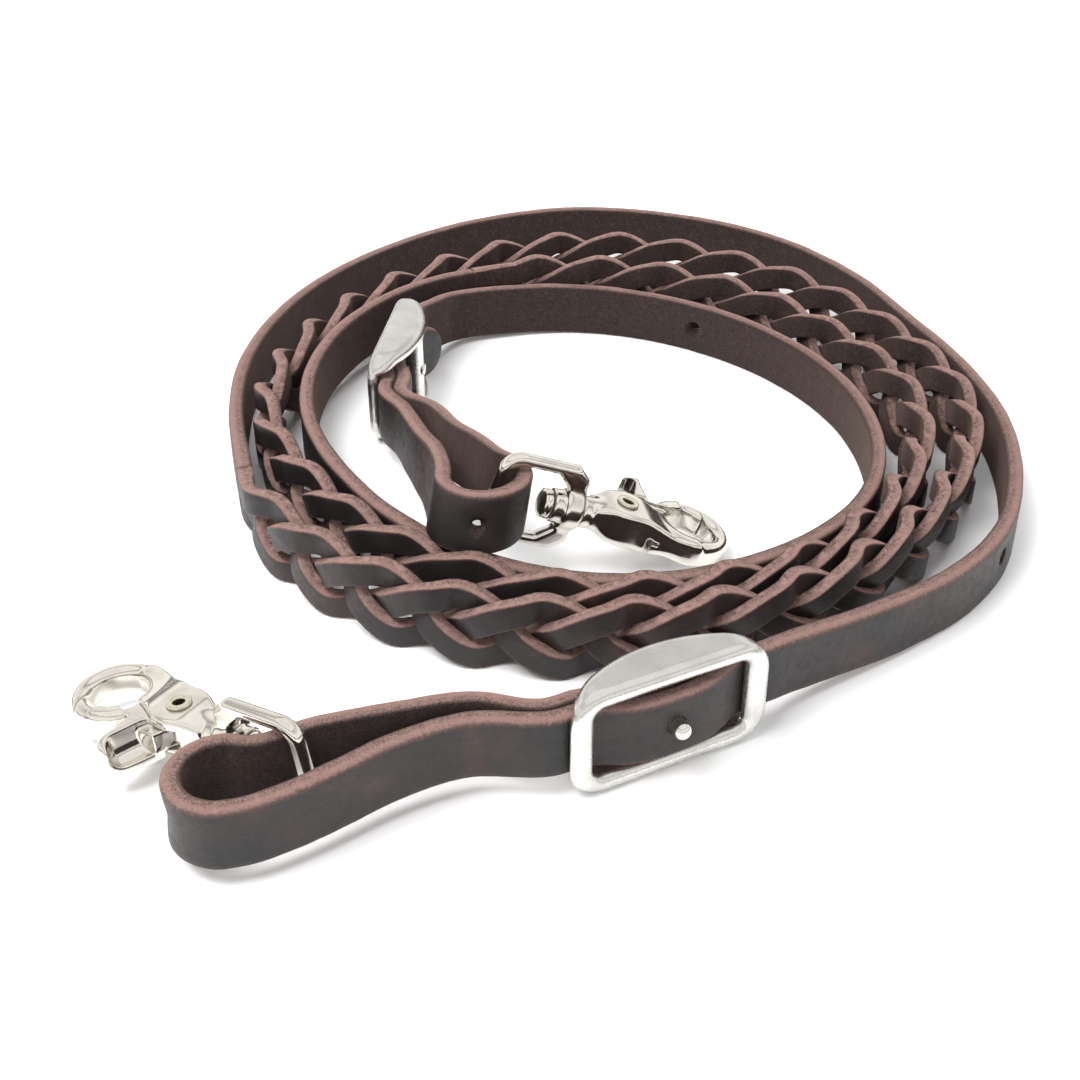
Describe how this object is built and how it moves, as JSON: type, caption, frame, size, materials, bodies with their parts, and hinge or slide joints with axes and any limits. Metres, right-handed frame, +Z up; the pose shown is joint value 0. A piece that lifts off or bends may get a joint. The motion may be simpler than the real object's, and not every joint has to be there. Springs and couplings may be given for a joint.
{
  "type": "leather reins",
  "caption": "Coiled leather riding reins with a flat braided grip, adjustable conway buckles and a swivel trigger clip at each folded end.",
  "frame": {"origin": "centre of the coil, on the surface that it stands on", "axes": "+Z up; -Y toward the loose end loop with the outer snap; +X to the right of that loop"},
  "size_m": [0.2401, 0.3214, 0.0373],
  "materials": {
    "strap_leather": "oiled dark brown grain",
    "braid_leather": "oiled dark brown grain with red-brown cut edges",
    "buckle_nickel": "satin nickel plate",
    "snap_nickel": "polished nickel plate",
    "rivet_brass": "nickel plate worn to brass inside",
    "spring_steel": "drawn wire"
  },
  "bodies": {
    "reins": {"outer_strap": "strap_leather", "braid_strand_1": "braid_leather", "braid_strand_2": "braid_leather", "braid_strand_3": "braid_leather", "inner_strap": "strap_leather", "outer_buckle_frame": "buckle_nickel", "outer_buckle_stud": "buckle_nickel", "inner_buckle_frame": "buckle_nickel", "inner_buckle_stud": "buckle_nickel"},
    "outer_bail": {"outer_snap_bail": "snap_nickel"},
    "outer_hook": {"outer_snap_hook": "snap_nickel", "outer_snap_rivet": "rivet_brass", "outer_snap_spring": "spring_steel"},
    "outer_gate": {"outer_snap_trigger": "snap_nickel"},
    "inner_bail": {"inner_snap_bail": "snap_nickel"},
    "inner_hook": {"inner_snap_hook": "snap_nickel", "inner_snap_rivet": "rivet_brass", "inner_snap_spring": "spring_steel"},
    "inner_gate": {"inner_snap_trigger": "snap_nickel"}
  },
  "joints": [
    {"name": "outer_bail_swing", "type": "hinge", "parent": "reins", "child": "outer_bail", "pos_m": [-0.062, -0.148, 0.0141], "axis": [-0.1254, -0.0039, 0.9921], "range_deg": [-25, 0]},
    {"name": "outer_snap_swivel", "type": "hinge", "parent": "outer_bail", "child": "outer_hook", "pos_m": [-0.07718, -0.13851, 0.01222], "axis": [-0.8434, 0.527, -0.1045], "continuous": true},
    {"name": "outer_gate_press", "type": "hinge", "parent": "outer_hook", "child": "outer_gate", "pos_m": [-0.09118, -0.12976, 0.01048], "axis": [0.0794, -0.0702, -0.9944], "range_deg": [0, 18], "stiffness_Nm_per_rad": 0.02, "springref_deg": -28.65},
    {"name": "inner_bail_swing", "type": "hinge", "parent": "reins", "child": "inner_bail", "pos_m": [-0.0234, -0.0601, 0.0267], "axis": [0.3518, 0.0684, 0.9336], "range_deg": [-12, 42]},
    {"name": "inner_snap_swivel", "type": "hinge", "parent": "inner_bail", "child": "inner_hook", "pos_m": [-0.0069, -0.05689, 0.02025], "axis": [0.9164, 0.1781, -0.3584], "continuous": true},
    {"name": "inner_gate_press", "type": "hinge", "parent": "inner_hook", "child": "inner_gate", "pos_m": [0.00831, -0.05394, 0.0143], "axis": [-0.3518, -0.0684, -0.9336], "range_deg": [0, 18], "stiffness_Nm_per_rad": 0.02, "springref_deg": -28.65}
  ]
}
